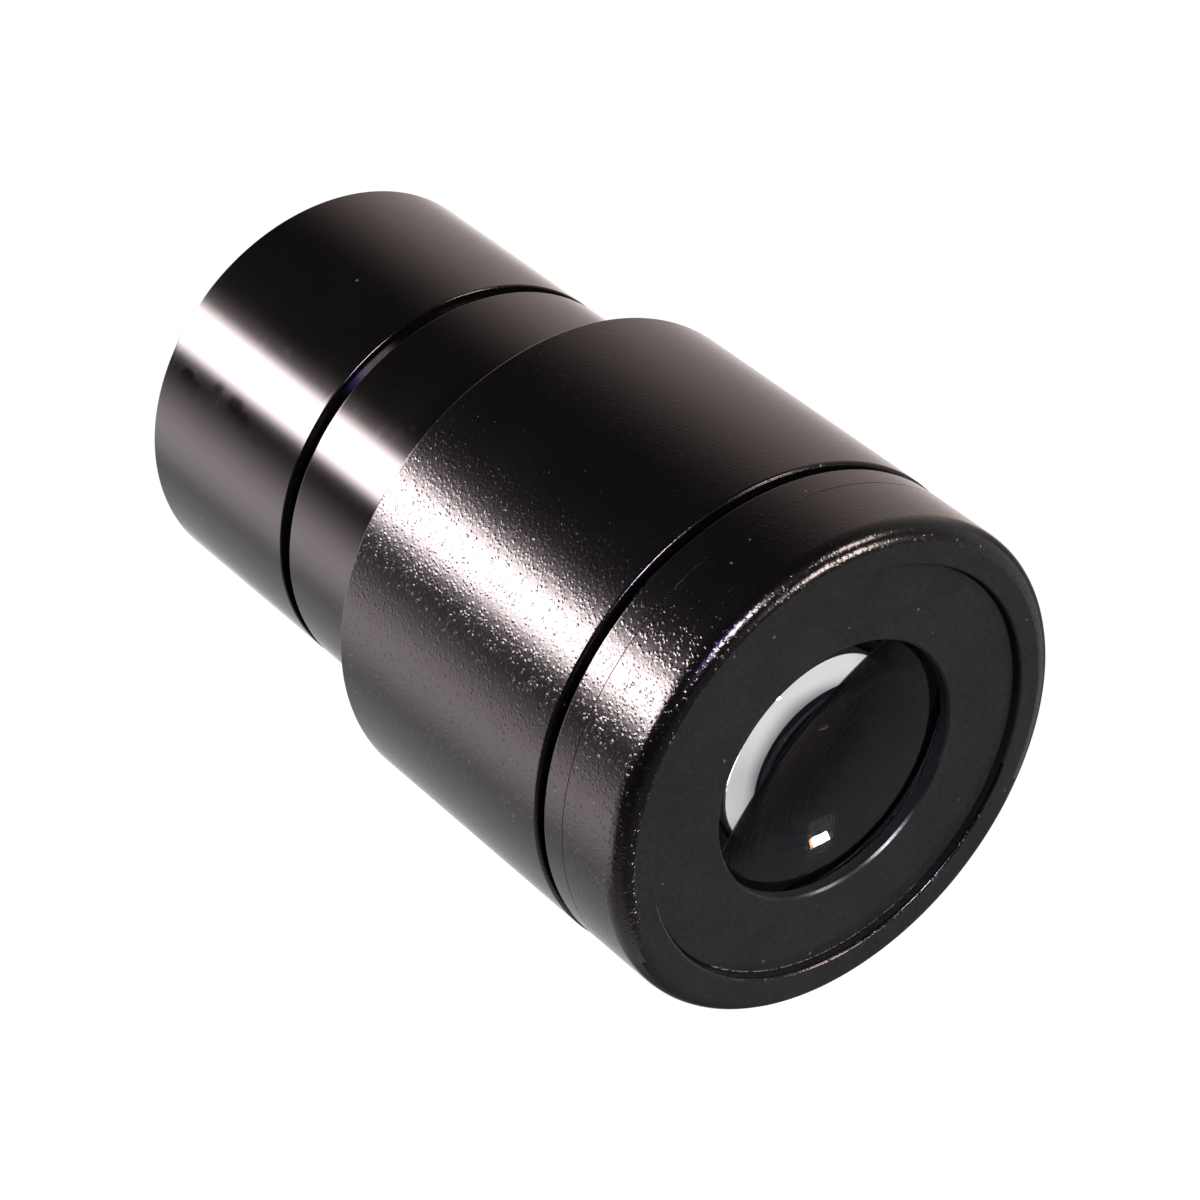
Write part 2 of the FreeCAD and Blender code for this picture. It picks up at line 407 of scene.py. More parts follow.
def marks(tree):
    """Mask of the finger marks, with uneven edges."""
    at = tree.swayed(0.8, 0.9)
    total = None
    for azimuth, height, radius, strength in MARKS:
        angle = math.radians(azimuth)
        spot = Vector((barrel_r * math.cos(angle), barrel_r * math.sin(angle), height)) * MM
        away = tree.add("ShaderNodeVectorMath", {"operation": "DISTANCE"}, {0: at, 1: spot}, "Value")
        mark = away.ramp(radius * MARK_EDGE[0] * MM, radius * MARK_EDGE[1] * MM, 0.0, strength)
        total = mark if total is None else total.math("MAXIMUM", mark)
    return total


def scuffs(tree):
    """Mask of fine rubbed streaks that run around the axis, in patches."""
    stretched = tree.add("ShaderNodeVectorMath", {"operation": "MULTIPLY"},
                         {0: tree.place(), 1: (0.05, 0.05, 1.0)})
    streaks = tree.noise(0.16, 3.0, 0.6, stretched).ramp(0.5, 0.72)
    patches = tree.noise(2.2, 2.0).ramp(0.5, 0.68)
    return streaks * patches


# Tint of the black finish where light meets it squarely
WARM_BLACK = (1.0, 0.84, 0.86, 1)


def smooth_anodised():
    """Smooth black anodising of the barrel and neck, with faint rubbed patches."""
    material, tree = new_material("smooth_black_anodised")
    cloud = tree.noise(6.0, 3.0)
    fine = tree.noise(0.12, 2.0)
    rubbed = tree.noise(1.4, 4.0, 0.65).ramp(0.62, 0.74)
    specks = dust(tree, 0.9, 0.05)
    colour = tree.mix(cloud, (0.0012, 0.001, 0.001, 1), (0.0024, 0.002, 0.002, 1))
    colour = tree.mix(specks * 0.4, colour, (0.1, 0.1, 0.1, 1))
    scuffed = scuffs(tree)
    rough = 0.11 + cloud * 0.03 + rubbed * 0.04 + scuffed * 0.07 + specks * 0.2
    rough = rough * (1.0 - marks(tree) * 0.7)
    normal = tree.bump(scuffed, 0.0012, 0.6, tree.bump(fine, 0.0012, 0.4))
    finish(tree, Base_Color=colour, Roughness=rough, Normal=normal, IOR=1.56, Specular_Tint=WARM_BLACK)
    return material


# Distance between the grains of the pebbled coat and the height of a grain, both in millimetres
PEBBLE_SPACING = 0.27
PEBBLE_HEIGHT = 0.018
# Share of that height on the far side, on the cap and on the cap's edge
FAR_GRAIN = 0.5
CAP_GRAIN = 1.25
EDGE_GRAIN = 1.5
# Share of the height that the calm stretch of the cap's edge loses
CALM_LOSS = 0.85


def grain_by_place(tree):
    """Share of the grain's height at a point, and a mask of the calm stretch of the cap's edge."""
    x, y, z = tree.axes(tree.place())
    z_cap = z_seam + seam_gap
    z_edge = z_front - cap_edge_radius
    share = y.ramp(-3 * MM, 9 * MM, 1.0, FAR_GRAIN)
    share = share * z.ramp((z_cap - 0.5) * MM, (z_cap + 0.5) * MM, 1.0, CAP_GRAIN)
    share = share * z.ramp((z_edge - 0.3) * MM, (z_edge + 0.5) * MM, 1.0, EDGE_GRAIN)
    reach = (x * x + y * y).math("SQRT")
    calm = reach.ramp((cap_r - 1.3) * MM, (cap_r - 0.9) * MM) * (x - y).ramp(6 * MM, 14 * MM)
    calm = calm * z.ramp((z_edge - 0.5) * MM, (z_edge + 0.1) * MM)
    return share * (1.0 - CALM_LOSS * calm), calm


def pebbled_coat():
    """Semi-gloss black coat with a fine pebble grain."""
    material, tree = new_material("pebbled_black_coat")
    at = tree.swayed(0.4, 0.35)
    pebbles = tree.cells(PEBBLE_SPACING, at=at)
    tall = tree.add("ShaderNodeSeparateColor", None,
                    {"Color": tree.cells(PEBBLE_SPACING, output="Color", at=at)})
    fine = tree.noise(0.1, 2.0)
    cloud = tree.noise(5.0, 3.0)
    specks = dust(tree, 0.8, 0.06)
    share, calm = grain_by_place(tree)
    colour = tree.mix(cloud, (0.0012, 0.001, 0.001, 1), (0.002, 0.0017, 0.0017, 1))
    colour = tree.mix(specks * 0.4, colour, (0.1, 0.1, 0.1, 1))
    rough = 0.15 + cloud * 0.04 + specks * 0.3 - calm * 0.06
    height = (pebbles.ramp(0.62, 0.02) * (tall * tall * 0.85 + 0.15) + fine * 0.08) * share
    finish(tree, Base_Color=colour, Roughness=rough, Normal=tree.bump(height, PEBBLE_HEIGHT), IOR=1.49,
           Specular_Tint=WARM_BLACK)
    return material


def matt_coat():
    """Matt black of the face plate, with its grain and a little dust."""
    material, tree = new_material("matt_black_coat")
    grain = tree.noise(0.09, 3.0, 0.6)
    mottle = tree.noise(0.3, 4.0, 0.7)
    cloud = tree.noise(4.0, 3.0)
    specks = dust(tree, 0.9, 0.07)
    pits = dust(tree, 0.7, 0.16)
    shade = mottle.ramp(0.3, 0.7) * 0.7 + cloud.ramp(0.3, 0.7) * 0.3
    colour = tree.mix(shade, (0.0045, 0.0045, 0.0047, 1), (0.012, 0.0117, 0.0122, 1))
    colour = tree.mix(pits * 0.8, colour, (0.0005, 0.0005, 0.0005, 1))
    colour = tree.mix(specks * 0.35, colour, (0.15, 0.15, 0.15, 1))
    normal = tree.bump(grain, 0.02, 0.6)
    finish(tree, Base_Color=colour, Roughness=0.62 + grain * 0.08, Normal=normal, IOR=1.17)
    return material


def inner_black():
    """Black of the walls that surround the lenses."""
    material, tree = new_material("inner_matt_black")
    grain = tree.noise(0.15, 3.0)
    colour = tree.mix(grain, (0.009, 0.0078, 0.008, 1), (0.02, 0.0175, 0.018, 1))
    finish(tree, Base_Color=colour, Roughness=0.7 + grain * 0.2,
           Normal=tree.bump(grain, 0.01, 0.4), IOR=1.12)
    return material


def thread_black():
    """Glossier black of the fine threads around the eye lens."""
    material, tree = new_material("glossy_thread_black")
    grain = tree.noise(0.1, 3.0)
    colour = tree.mix(grain, (0.02, 0.021, 0.025, 1), (0.04, 0.042, 0.048, 1))
    finish(tree, Base_Color=colour, Roughness=0.18 + grain * 0.1,
           Normal=tree.bump(grain, 0.006, 0.4), IOR=1.9)
    return material


def bevel_black():
    """Turned bevel around the opening, glossier than the plate."""
    material, tree = new_material("glossy_bevel_black")
    grain = tree.noise(0.14, 3.0)
    finish(tree, Base_Color=(0.006, 0.006, 0.006, 1), Roughness=0.14 + grain * 0.16,
           Normal=tree.bump(grain, 0.02, 0.8), IOR=1.42)
    return material


def worn_black():
    """Edge where the black is rubbed through to the metal in patches."""
    material, tree = new_material("worn_edge")
    bare = tree.noise(0.5, 4.0, 0.65).ramp(0.4, 0.54)
    colour = tree.mix(bare, (0.004, 0.004, 0.004, 1), (0.85, 0.76, 0.6, 1))
    finish(tree, Base_Color=colour, Roughness=0.2, Metallic=bare, IOR=1.5)
    return material


def satin_black():
    """Satin black of the ring behind the eye lens, with bright grains of dust."""
    material, tree = new_material("satin_spacer_black")
    grain = tree.noise(0.12, 3.0)
    specks = dust(tree, 0.35, 0.3)
    colour = tree.mix(grain, (0.02, 0.023, 0.028, 1), (0.05, 0.056, 0.066, 1))
    colour = tree.mix(specks * 0.7, colour, (0.4, 0.42, 0.46, 1))
    finish(tree, Base_Color=colour, Roughness=0.35 + grain * 0.1,
           Normal=tree.bump(grain, 0.01, 0.5), IOR=1.5)
    return material


# Refractive indices of the two kinds of glass, and the colour that passes through
DENSE_GLASS = 1.6204
CROWN_GLASS = 1.5168
CLEAR = (0.985, 0.99, 0.99, 1)


def coated_glass(name, index, tint, share):
    """Polished glass whose coating leaves a share of the bare glass's reflection and tints it."""
    material, tree = new_material(name)
    haze = tree.noise(2.5, 4.0, 0.6).ramp(0.55, 0.8)
    bare = tree.add("ShaderNodeFresnel", None, {"IOR": index})
    # Towards total reflection the coating no longer counts
    total = bare.ramp(0.5, 0.98)
    factor = bare * (share * (1.0 + haze * 0.3) + total * (1.0 - share))
    through = tree.add("ShaderNodeBsdfRefraction", None,
                       {"Color": CLEAR, "Roughness": 0.0, "IOR": index}, "BSDF")
    tone = tree.mix(total, tint, (1.0, 1.0, 1.0, 1))
    mirror = tree.add("ShaderNodeBsdfAnisotropic", None, {"Color": tone, "Roughness": 0.0}, "BSDF")
    shader = tree.add("ShaderNodeMixShader", None, {0: factor, 1: through, 2: mirror}, "Shader")
    tree.add("ShaderNodeOutputMaterial", None, {"Surface": shader})
    return material


smooth_black = smooth_anodised()
pebbled_black = pebbled_coat()
matt_black = matt_coat()
bore_black = inner_black()
glossy_thread = thread_black()
satin_spacer = satin_black()
glossy_bevel = bevel_black()
worn_paint = worn_black()
eye_glass = coated_glass("eye_lens_glass", DENSE_GLASS, (0.9, 0.94, 1.0, 1), 0.2)
eye_glass_inside = coated_glass("eye_lens_glass_inside", DENSE_GLASS, (1.0, 0.85, 0.85, 1), 0.04)
doublet_glass = coated_glass("doublet_glass", CROWN_GLASS, (1.0, 0.7, 0.75, 1), 0.04)
field_glass = coated_glass("field_lens_glass", CROWN_GLASS, (0.8, 0.95, 1.0, 1), 0.04)


def barrel_outline():
    """Push-in tube, its bore chamfered at the foot, and the spigot that screws into the neck."""
    bore_r = barrel_r - barrel_wall
    line = Outline()
    line.to(bore_r + bore_chamfer, z_foot, bore_edge)
    line.to(barrel_r - barrel_chamfer, z_foot, foot_edge)
    line.to(barrel_r, z_foot + barrel_chamfer, foot_chamfer_edge)
    line.to(barrel_r, barrel_length, turned_edge)
    line.to(spigot_r, barrel_length)
    line.to(spigot_r, z_spigot_end - spigot_lead)
    line.to(spigot_r - spigot_lead, z_spigot_end)
    line.to(bore_r, z_spigot_end)
    line.to(bore_r, z_foot + bore_chamfer, bore_edge)
    return line


def housing_outline():
    """Neck with its flange, and the lens tube that runs up inside the head."""
    thread_r = spigot_r + neck_thread_gap
    stop_bore_r = stop_r + stop_bore_gap
    relief_r = stop_bore_r - stop_relief
    seat_r = field_r - lens_seat_width
    z_flange = z_shoulder + flange_thickness
    z_seat_low = z_field_flat - lens_seat_thickness
    line = Outline()
    line.to(thread_r, z_neck)
    line.to(barrel_r, z_neck, turned_edge)
    line.to(barrel_r, z_flange)
    line.to(flange_r, z_flange)
    line.to(flange_r, z_flange + flange_thickness)
    line.to(lens_tube_r, z_flange + flange_thickness)
    line.to(lens_tube_r, z_tube_end)
    line.to(lens_bore_r + lens_bore_lead, z_tube_end)
    line.to(lens_bore_r, z_tube_end - lens_bore_lead)
    line.to(lens_bore_r, z_field_flat)
    line.to(seat_r, z_field_flat)
    line.to(seat_r, z_seat_low)
    line.to(relief_r, z_seat_low)
    line.to(relief_r, z_stop_top)
    line.to(stop_bore_r, z_stop_top)
    line.to(stop_bore_r, z_spigot_end)
    line.to(thread_r, z_spigot_end)
    return line


def head_outline():
    """Grip shell with its groove and the short land above it."""
    throat_r = barrel_r + sleeve_throat_gap
    bore_r = head_r - sleeve_wall
    z_groove = z_shoulder + grip_length
    z_land = z_groove + groove_width
    line = Outline()
    line.to(throat_r, z_shoulder)
    line.to(head_r - grip_chamfer, z_shoulder, grip_foot_edge)
    line.to(head_r, z_shoulder + grip_chamfer, grip_chamfer_edge)
    line.to(head_r, z_groove, grip_edge)
    line.to(head_r - groove_depth, z_groove)
    line.to(head_r - groove_depth, z_land)
    line.to(cap_r - land_chamfer, z_land, land_foot_edge)
    line.to(cap_r, z_land + land_chamfer, land_chamfer_edge)
    line.to(cap_r, z_seam, seam_edge)
    line.to(bore_r, z_seam)
    line.to(bore_r, z_shoulder + flange_thickness)
    line.to(throat_r, z_shoulder + flange_thickness)
    return line


def cap_outline():
    """Cap with its rounded edge, the recess for the plate and the seat of the eye lens."""
    spigot_out_r = head_r - sleeve_wall - cap_spigot_gap
    spigot_in_r = lens_tube_r + tube_gap
    cell_r = eye_r + cell_gap
    seat_r = eye_r - eye_seat_width
    z_cap = z_seam + seam_gap
    z_seat = z_eye_back + sag(eye_back_curvature, seat_r)
    z_plate_seat = z_plate_front - plate_thickness - plate_relief
    line = Outline()
    line.to(spigot_in_r, z_cap_spigot)
    line.to(spigot_out_r, z_cap_spigot)
    line.to(spigot_out_r, z_cap)
    line.to(cap_r, z_cap, seam_edge)
    line.to(cap_r, z_front, cap_edge_radius)
    line.to(recess_r, z_front, recess_edge)
    line.to(recess_r, z_plate_seat)
    line.to(cell_r, z_plate_seat)
    line.to(cell_r, z_seat)
    line.to(seat_r, z_seat)
    line.to(seat_r, z_upper_spacer_top)
    line.to(spigot_in_r, z_upper_spacer_top)
    return line


def plate_outline():
    """Flat ring with a bevelled opening. The cone at its back holds the eye lens."""
    touch_r = (opening_r + eye_r) / 2
    z_touch = z_eye_vertex - sag(eye_curvature, touch_r)
    slope = touch_r / math.sqrt(eye_curvature ** 2 - touch_r ** 2)
    boss_r = eye_r - plate_gap
    z_back = z_plate_front - plate_thickness
    line = Outline()
    line.to(opening_r, z_plate_front - opening_bevel, opening_edge)
    line.to(opening_r + opening_bevel, z_plate_front, opening_edge)
    line.to(plate_r, z_plate_front, plate_edge)
    line.to(plate_r, z_back)
    line.to(boss_r, z_back)
    line.to(boss_r, z_touch - slope * (boss_r - touch_r))
    line.to(opening_r, z_touch + slope * (touch_r - opening_r), opening_edge)
    return line


def eye_lens_outline():
    """Lens that is domed on both sides."""
    line = Outline()
    line.dome(-eye_back_curvature, z_eye_back, 0.0, eye_r)
    line.dome(eye_curvature, z_eye_vertex, eye_r, 0.0)
    return line


def doublet_outline():
    """Both halves of the cemented doublet, turned as one piece."""
    line = Outline()
    line.to(0.0, z_flint_back)
    line.to(flint_r - lens_bevel, z_flint_back)
    line.to(flint_r, z_flint_back + lens_bevel)
    line.dome(doublet_curvature, z_crown_vertex, crown_r, 0.0)
    return line


def field_lens_outline():
    """Weak lens with a flat back."""
    line = Outline()
    line.to(0.0, z_field_flat)
    line.to(field_r - lens_bevel, z_field_flat)
    line.to(field_r, z_field_flat + lens_bevel)
    line.dome(field_curvature, z_field_vertex, field_r, 0.0)
    return line


def ring_outline(inner_r, outer_r, z_low, z_high):
    """Plain ring with slightly rounded inner edges."""
    line = Outline()
    line.to(inner_r, z_low, spacer_edge)
    line.to(outer_r, z_low)
    line.to(outer_r, z_high)
    line.to(inner_r, z_high, spacer_edge)
    return line


def field_stop_outline():
    """Thin ring with a sharp inner edge, bevelled from above."""
    line = Outline()
    line.to(stop_hole_r, z_stop)
    line.to(stop_r, z_stop)
    line.to(stop_r, z_stop_top)
    line.to(stop_hole_r + stop_bevel, z_stop_top)
    return line


# Direction of the worn side of the front, at the lower right of the photograph
WORN_SIDE = Vector((math.cos(math.radians(-45)), math.sin(math.radians(-45)), 0.0))
# Cosines of the angle from it: the whole worn side, and its middle where the paint is rubbed off
WORN_REACH = 0.3
RUBBED_REACH = 0.8
# How far the front's matt paint runs on round the cap's edge, on the worn side
PAINT_BEYOND = 1.1
# A face whose normal rises by less than this stands upright
UPRIGHT = 0.1


def painted(piece, extra, choose):
    """Gives a piece more materials, and picks one of them for each face by its place and slope."""
    for material in extra:
        piece.data.materials.append(material)
    for face in piece.data.polygons:
        reach = math.hypot(face.center.x, face.center.y) / MM
        worn_side = face.center.dot(WORN_SIDE) / (reach * MM)
        face.material_index = choose(reach, face.center.z / MM, face.normal.z, worn_side)


def cap_finish(reach, z, slope, worn_side):
    """Grain outside, matt paint in front and round the worn side's edge, satin behind the eye lens."""
    if reach < eye_r + 2 * cell_gap and z < z_plate_front - plate_thickness:
        return 2
    if recess_r < reach < recess_r + recess_edge and worn_side > WORN_REACH:
        return 0
    beyond = PAINT_BEYOND * min(1.0, max(0.0, (worn_side - 0.25) / 0.3))
    return 1 if reach < cap_r - cap_edge_radius + beyond else 0


def plate_finish(reach, z, slope, worn_side):
    """Matt paint, a glossy bevel and a rubbed outer edge on the worn side, black in the opening."""
    if opening_r < reach < opening_r + opening_bevel and z > z_plate_front - opening_bevel:
        return 1 if worn_side > WORN_REACH else 0
    if reach > plate_r - plate_edge and slope > UPRIGHT:
        return 2 if worn_side > RUBBED_REACH else 0
    return 3 if reach < opening_r + 0.01 else 0


def eye_lens_finish(reach, z, slope, worn_side):
    """Front, back and ground edge of the eye lens."""
    if abs(slope) < UPRIGHT:
        return 2
    return 1 if slope < 0 else 0


turned("barrel_tube", barrel_outline(), ["barrel"], smooth_black)
turned("neck_and_lens_tube", housing_outline(), ["housing"], smooth_black)
turned("head_grip", head_outline(), ["head_sleeve"], pebbled_black)
cap = turned("eye_end_cap", cap_outline(), ["eye_cap"], pebbled_black)
painted(cap, [matt_black, satin_spacer], cap_finish)
plate = turned("sunk_plate", plate_outline(), ["face_plate"], matt_black)
painted(plate, [glossy_bevel, worn_paint, bore_black], plate_finish)
eye_lens = turned("eye_end_lens", eye_lens_outline(), ["eye_lens"], eye_glass,
                  LENS_STEPS)
painted(eye_lens, [eye_glass_inside, satin_spacer], eye_lens_finish)
turned("cemented_doublet", doublet_outline(), ["crown_lens", "flint_lens"],
       doublet_glass, LENS_STEPS)
turned("field_end_lens", field_lens_outline(), ["field_lens"], field_glass,
       LENS_STEPS)
spacer_bore_r = spacer_r - spacer_wall
turned("doublet_spacer", ring_outline(spacer_bore_r, spacer_r, z_upper_spacer_low, z_upper_spacer_top),
       ["upper_spacer"], satin_spacer)
turned("field_spacer", ring_outline(spacer_bore_r, lower_spacer_r, z_lower_spacer_low, z_lower_spacer_top),
       ["lower_spacer"], bore_black)
turned("stop_disc", field_stop_outline(), ["field_stop"], bore_black)

for slot in frame["nodes"]["stop_ring"].material_slots:
    slot.material = bore_black


class Tool:
    """A Geometry Nodes tree that is filled by one method."""

    def __init__(self, name, sizes):
        self.tree = bpy.data.node_groups.new(name, "GeometryNodeTree")
        self.ids = {}
        self.tree.interface.new_socket("Geometry", in_out="INPUT", socket_type="NodeSocketGeometry")
        for label, kind in sizes.items():
            socket = self.tree.interface.new_socket(label, in_out="INPUT", socket_type=kind)
            self.ids[label] = socket.identifier
        self.tree.interface.new_socket("Geometry", in_out="OUTPUT", socket_type="NodeSocketGeometry")
        self.start = self.tree.nodes.new("NodeGroupInput")

    def size(self, label):
        """A named input of the tree."""
        return self.start.outputs[label]

    def add(self, kind, settings=None, values=None, output=0):
        """Adds a node, sets its settings, then its inputs, and returns one output."""
        node = self.tree.nodes.new(kind)
        for key, setting in (settings or {}).items():
            setattr(node, key, setting)
        for key, value in (values or {}).items():
            if isinstance(value, bpy.types.NodeSocket):
                self.tree.links.new(value, node.inputs[key])
            else:
                node.inputs[key].default_value = value
        return node.outputs[output] if len(node.outputs) else None

    def math(self, operation, *values):
        """One Math node."""
        return self.add("ShaderNodeMath", {"operation": operation}, dict(enumerate(values)))


def thread_tool(name, material):
    """Helical ridge with a square section on its corner, half of it sunk in the wall."""
    tool = Tool(name, {"Radius": "NodeSocketFloat", "Pitch": "NodeSocketFloat", "Depth": "NodeSocketFloat",
                       "Low": "NodeSocketFloat", "Length": "NodeSocketFloat", "Steps": "NodeSocketInt"})
    turns = tool.math("DIVIDE", tool.size("Length"), tool.size("Pitch"))
    radius = tool.size("Radius")
    helix = tool.add("GeometryNodeCurveSpiral", None, {
        "Resolution": tool.size("Steps"), "Rotations": turns, "Start Radius": radius,
        "End Radius": radius, "Height": tool.size("Length")})
    helix = tool.add("GeometryNodeSetCurveNormal", {"mode": "Z_UP"}, {"Curve": helix})
    section = tool.add("GeometryNodeCurvePrimitiveCircle", None,
                       {"Resolution": 4, "Radius": tool.size("Depth")})
    ridge = tool.add("GeometryNodeCurveToMesh", None,
                     {"Curve": helix, "Profile Curve": section, "Fill Caps": True})
    lift = tool.add("ShaderNodeCombineXYZ", None, {"Z": tool.size("Low")})
    ridge = tool.add("GeometryNodeSetPosition", None, {"Geometry": ridge, "Offset": lift})
    ridge = tool.add("GeometryNodeSetShadeSmooth", None, {"Geometry": ridge, "Shade Smooth": False})
    ridge = tool.add("GeometryNodeRealizeInstances", None, {"Geometry": ridge})
    ridge = tool.add("GeometryNodeSetMaterial", None, {"Geometry": ridge, "Material": material})
    tool.add("NodeGroupOutput", None, {"Geometry": ridge})
    return tool


def ridged(name, tool, sizes):
    """Runs a tree with the given sizes and keeps the result as a plain mesh."""
    maker = bpy.data.objects.new(name + ".maker", bpy.data.meshes.new(name + ".maker"))
    bpy.context.scene.collection.objects.link(maker)
    modifier = maker.modifiers.new("tree", "NODES")
    modifier.node_group = tool.tree
    for label, value in sizes.items():
        modifier[tool.ids[label]] = value
    bpy.context.view_layer.update()
    view = bpy.context.evaluated_depsgraph_get()
    mesh = bpy.data.meshes.new_from_object(maker.evaluated_get(view))
    bpy.data.objects.remove(maker)
    piece = bpy.data.objects.new(name, mesh)
    bpy.context.scene.collection.objects.link(piece)
    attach(piece, "root")
    return piece


# Glare threads: fine helical ridges on the blackened walls around the lenses
glare_pitch = 0.36
glare_depth = 0.13
turn_steps = 96
plain_thread = thread_tool("helical_ridge", bore_black)
glossy_ridge = thread_tool("glossy_helical_ridge", glossy_thread)
# Radius of the wall, lowest point and length of each thread
thread_walls = {
    "glare_thread_eye_cell": (eye_r - eye_seat_width, z_upper_spacer_top + 0.1, 0.55),
    "glare_thread_spacer": (spacer_bore_r, z_upper_spacer_low + 0.9, 1.3),
    "glare_thread_tube": (spacer_bore_r, z_lower_spacer_low + 1.0, 7.0),
    "stop_ring_thread": (stop_r + stop_bore_gap, z_spigot_end + 0.2, 2.4),
}
for thread_name, (wall_r, z_low, length) in thread_walls.items():
    tool = glossy_ridge if thread_name == "glare_thread_eye_cell" else plain_thread
    ridged(thread_name, tool, {
        "Radius": wall_r * MM, "Pitch": glare_pitch * MM, "Depth": glare_depth * MM,
        "Low": z_low * MM, "Length": length * MM, "Steps": turn_steps})

# Camera, fitted to the photograph, with its focal length and its axis in the photograph's pixels
FRAME_PIXELS = 1200
FOCAL_PIXELS = 4260
AXIS_PIXEL = (601, 599)
SENSOR = 36.0
camera_place = Vector((-218.235, -0.49, 217.934)) * MM
camera_right = Vector((0.511, 0.611, 0.604)).normalized()
camera_forward = Vector((0.763, 0.0, -0.646)).normalized()


def make_camera():
    """Camera at the place and with the lens that the fit gave."""
    right = (camera_right - camera_forward * camera_right.dot(camera_forward)).normalized()
    up = right.cross(camera_forward)
    data = bpy.data.cameras.new("photo_camera")
    data.sensor_fit = "HORIZONTAL"
    data.sensor_width = SENSOR
    data.lens = SENSOR * FOCAL_PIXELS / FRAME_PIXELS
    data.shift_x = -(AXIS_PIXEL[0] - FRAME_PIXELS / 2) / FRAME_PIXELS
    data.shift_y = (AXIS_PIXEL[1] - FRAME_PIXELS / 2) / FRAME_PIXELS
    data.clip_start = 0.01
    data.clip_end = 20.0
    camera = bpy.data.objects.new("photo_camera", data)
    turn = Matrix((right, up, -camera_forward)).transposed()
    camera.matrix_world = Matrix.Translation(camera_place) @ turn.to_4x4()
    bpy.context.scene.collection.objects.link(camera)
    bpy.context.scene.camera = camera


def heading(azimuth, elevation):
    """Unit vector towards a direction given in degrees."""
    az = math.radians(azimuth)
    el = math.radians(elevation)
    return Vector((math.cos(el) * math.cos(az), math.cos(el) * math.sin(az), math.sin(el)))


# Lamps of the studio: azimuth, elevation, half width, half height, soft edge, lean, colour, strength
lamps = {
    "main_strip": (-157.3, -38, 7.6, 34, 4.5, 0.0, (1.0, 1.0, 1.0), 30.0),
    "strip_halo": (-160, -38, 9, 34, 9.0, 0.0, (1.1, 1.0, 1.02), 2.5),
    "side_panel": (-103, -38, 12, 34, 12.0, 0.0, (1.07, 1.0, 1.0), 2.0),
    "backdrop": (4, -54, 14, 22, 12.0, 0.0, (1.0, 1.0, 0.98), 0.45),
    "camera_lamp": (156, 52, 8, 7, 1.5, 0.0, (0.97, 0.98, 1.03), 55.0),
    "blue_lamp": (168, 43, 6, 2.5, 2.0, 0.0, (0.35, 0.4, 1.5), 24.0),
    "top_lamp": (48, 60, 8, 6, 1.5, 0.0, (1.06, 1.0, 0.92), 30.0),
    "lit_wall": (10, 29, 12, 16, 10.0, 0.0, (1.0, 1.0, 0.99), 0.12),
    "wide_wall": (0, 24, 54, 17, 8.0, 0.0, (0.98, 1.0, 1.02), 0.17),
    "small_window": (-8.7, 24.4, 1.2, 2.0, 0.15, -0.93, (1.03, 1.0, 0.95), 85.0),
    "window_edge": (-10.2, 25.6, 0.3, 1.9, 0.1, 0.0, (1.4, 0.7, 0.25), 35.0),
    "warm_side": (97, 35, 8, 5, 2.0, 0.0, (1.07, 1.0, 0.92), 24.0),
}


def lamp_glow(tree, look, azimuth, elevation, half_wide, half_high, soft, lean, colour, strength):
    """Light of one lamp: a soft-edged rectangle of directions, with its angles in degrees.

    The lean is how many degrees the rectangle climbs for each degree across.
    """
    parts = []
    for axis in (heading(azimuth, elevation), heading(azimuth + 90, 0),
                 heading(azimuth, elevation + 90)):
        part = tree.add("ShaderNodeVectorMath", {"operation": "DOT_PRODUCT"}, {0: look, 1: axis}, "Value")
        parts.append(part)
    ahead = parts[0].math("MAXIMUM", 0.001)
    across = (parts[1] / ahead).math("ARCTANGENT") * (180 / math.pi)
    along = (parts[2] / ahead).math("ARCTANGENT") * (180 / math.pi)
    along = (along - across * lean).math("ABSOLUTE")
    across = across.math("ABSOLUTE")
    lit = across.ramp(half_wide + soft, half_wide - soft) * along.ramp(half_high + soft, half_high - soft)
    lit = lit * parts[0].math("GREATER_THAN", 0.0) * strength
    return tree.add("ShaderNodeVectorMath", {"operation": "SCALE"}, {0: colour, "Scale": lit})


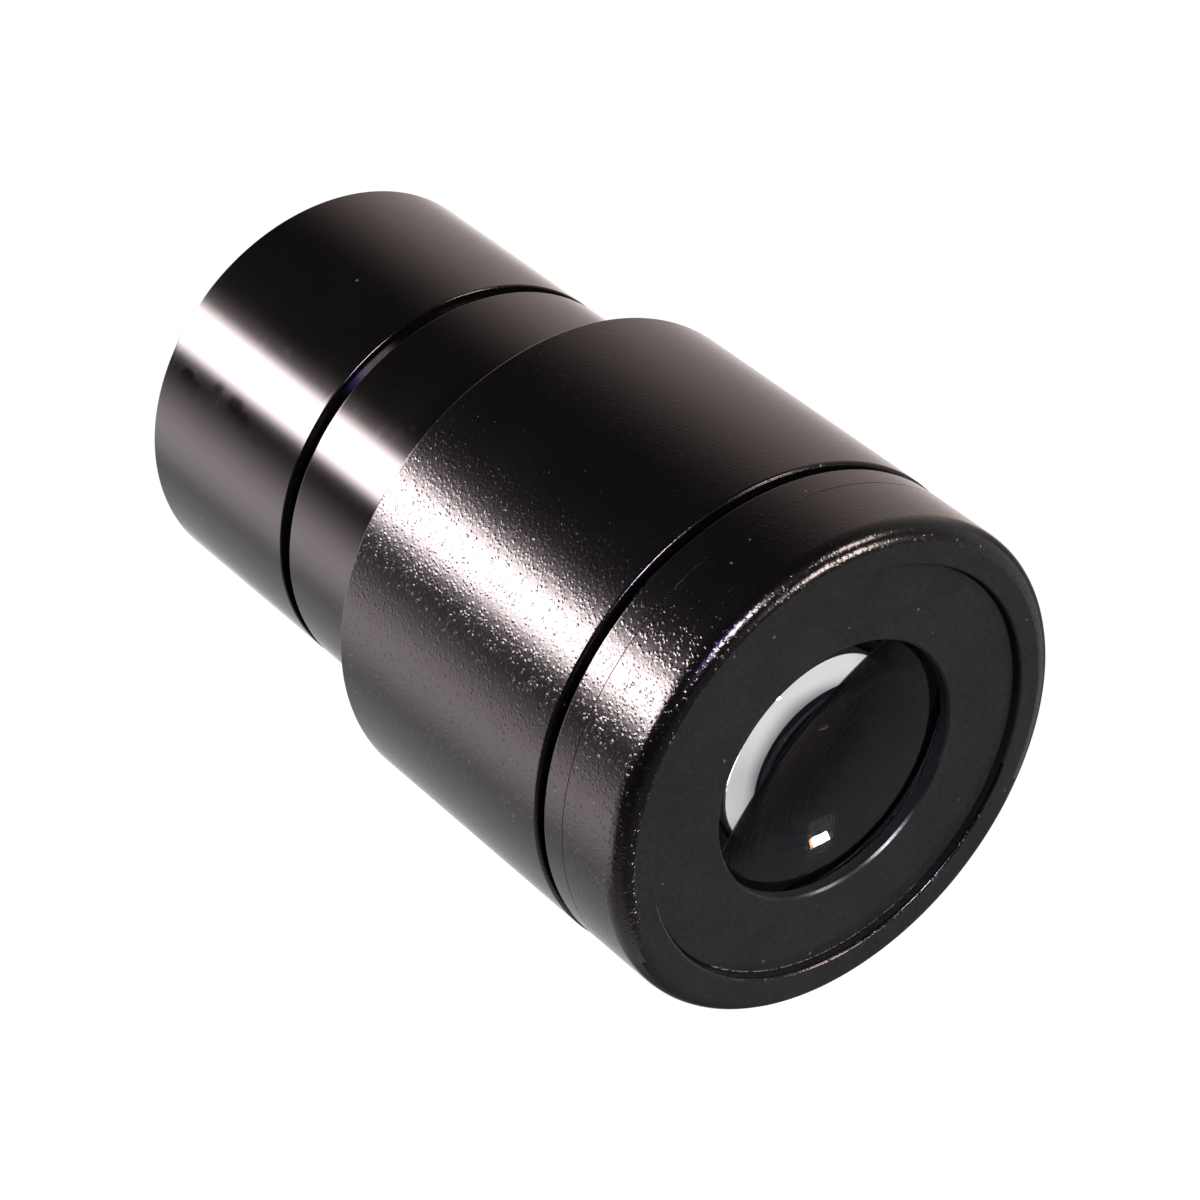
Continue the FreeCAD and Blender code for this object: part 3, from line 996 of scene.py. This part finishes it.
def make_world():
    """Surroundings for reflections and glass: walls and ceiling by direction, and the lamps."""
    world = bpy.data.worlds.new("studio")
    bpy.context.scene.world = world
    tree = Tree(world)
    look = tree.add("ShaderNodeTexCoord", output="Generated")
    x, y, z = tree.axes(look)
    around = x / (x * x + y * y + 0.0001).math("SQRT")
    # The walls are dark behind the camera and light opposite it, and everything darkens upwards
    walls = around.ramp(-0.62, 0.45, 0.02, 1.0) * y.ramp(-0.4, 0.4, 0.62, 0.72)
    ceiling = y.ramp(-0.4, 0.4, 0.1, 0.5)
    light = walls * (1.0 - ceiling * z.ramp(-0.5, 0.6)) * z.ramp(0.5, 0.7, 1.0, 0.3)
    dark_band = around.ramp(0.5, 0.8) * z.ramp(-0.55, -0.4) * z.ramp(0.1, 0.0)
    light = light * (1.0 - 0.75 * dark_band)
    warm = y.ramp(-0.4, 0.4) * z.ramp(-0.1, -0.4)
    tone = tree.mix(warm, (1.0, 1.0, 1.02, 1), (1.17, 1.0, 0.95, 1))
    total = tree.add("ShaderNodeVectorMath", {"operation": "SCALE"}, {0: tone, "Scale": light})
    for lamp in lamps.values():
        glow = lamp_glow(tree, look, *lamp)
        total = tree.add("ShaderNodeVectorMath", {"operation": "ADD"}, {0: total, 1: glow})
    shader = tree.add("ShaderNodeBackground", None, {"Color": total, "Strength": 1.0})
    tree.add("ShaderNodeOutputWorld", None, {"Surface": shader})


def seen_only(piece):
    """The camera sees a stage piece, and no light or reflection meets it."""
    piece.visible_diffuse = False
    piece.visible_glossy = False
    piece.visible_transmission = False
    piece.visible_volume_scatter = False
    piece.visible_shadow = False


def make_stage():
    """White floor, and a white dome over it, for the photograph's plain white surroundings."""
    material, tree = new_material("white_sweep")
    glow = tree.add("ShaderNodeEmission", None, {"Color": (1, 1, 1, 1), "Strength": 1.02})
    tree.add("ShaderNodeOutputMaterial", None, {"Surface": glow})
    reach = 3.0
    floor_mesh = bpy.data.meshes.new("floor")
    corners = [(-reach, -reach, 0), (reach, -reach, 0), (reach, reach, 0), (-reach, reach, 0)]
    floor_mesh.from_pydata(corners, [], [(0, 1, 2, 3)])
    floor = bpy.data.objects.new("floor", floor_mesh)
    bpy.ops.mesh.primitive_uv_sphere_add(segments=48, ring_count=24, radius=reach)
    dome = bpy.context.object
    dome.name = "dome"
    bpy.context.scene.collection.objects.link(floor)
    for piece in (floor, dome):
        piece.data.materials.append(material)
        seen_only(piece)


def make_foot_shade():
    """Disc just under the barrel that keeps light out of its open end. The camera doesn't see it."""
    steps = 72
    drop = 0.2
    shade_r = barrel_r - barrel_chamfer
    rim = []
    for step in range(steps):
        angle = math.tau * step / steps
        rim.append(Vector((shade_r * math.cos(angle), shade_r * math.sin(angle), -drop)) * MM)
    shade_mesh = bpy.data.meshes.new("foot_shade")
    shade_mesh.from_pydata(rim, [], [tuple(range(steps))])
    shade = bpy.data.objects.new("foot_shade", shade_mesh)
    bpy.context.scene.collection.objects.link(shade)
    shade.data.materials.append(bore_black)
    shade.visible_camera = False


make_camera()
make_world()
make_stage()
make_foot_shade()
bpy.context.scene.view_settings.view_transform = "Standard"
